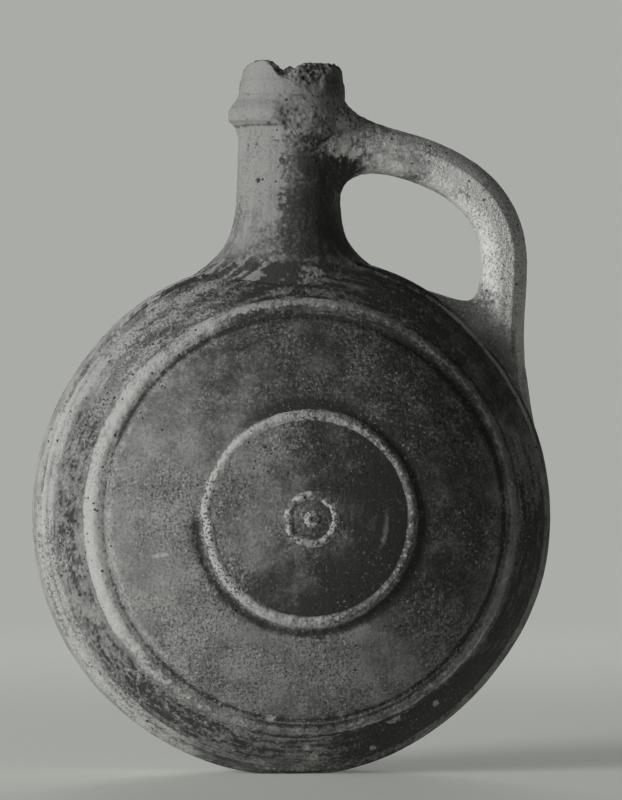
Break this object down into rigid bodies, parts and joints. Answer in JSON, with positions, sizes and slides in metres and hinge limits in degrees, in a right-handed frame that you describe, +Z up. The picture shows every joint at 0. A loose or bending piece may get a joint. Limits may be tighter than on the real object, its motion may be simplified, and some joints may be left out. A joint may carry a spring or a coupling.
{
  "type": "pottery jug",
  "caption": "Lentoid pottery jug that stands on its edge, with ringed faces, a tall collared neck, a broken lip and a loop handle from neck to shoulder.",
  "frame": {"origin": "on the surface that the jug stands on, under the middle of the body", "axes": "+Z up along the neck, -Y out of the front face, +X towards the handle"},
  "size_m": [0.2, 0.1226, 0.2738],
  "materials": {
    "slip": "dark matt slip with pale grit, worn",
    "worn_clay": "worn pale fired clay, matt",
    "ring_clay": "slip rubbed pale along the crest",
    "raw_clay": "bare fired clay, rough"
  },
  "bodies": {
    "root": {"front_bowl": "slip", "back_bowl": "slip", "seam_band": "slip", "inner_seam_coil": "raw_clay", "front_outer_ring": "ring_clay", "front_inner_ring": "ring_clay", "front_boss_ring": "ring_clay", "front_boss": "ring_clay", "back_outer_ring": "ring_clay", "back_inner_ring": "ring_clay", "back_boss_ring": "ring_clay", "back_boss": "ring_clay", "neck": "worn_clay", "mouth": "worn_clay", "neck_collar": "worn_clay", "neck_luting": "worn_clay", "handle": "worn_clay", "upper_handle_luting": "worn_clay", "lower_handle_luting": "worn_clay"}
  },
  "joints": []
}
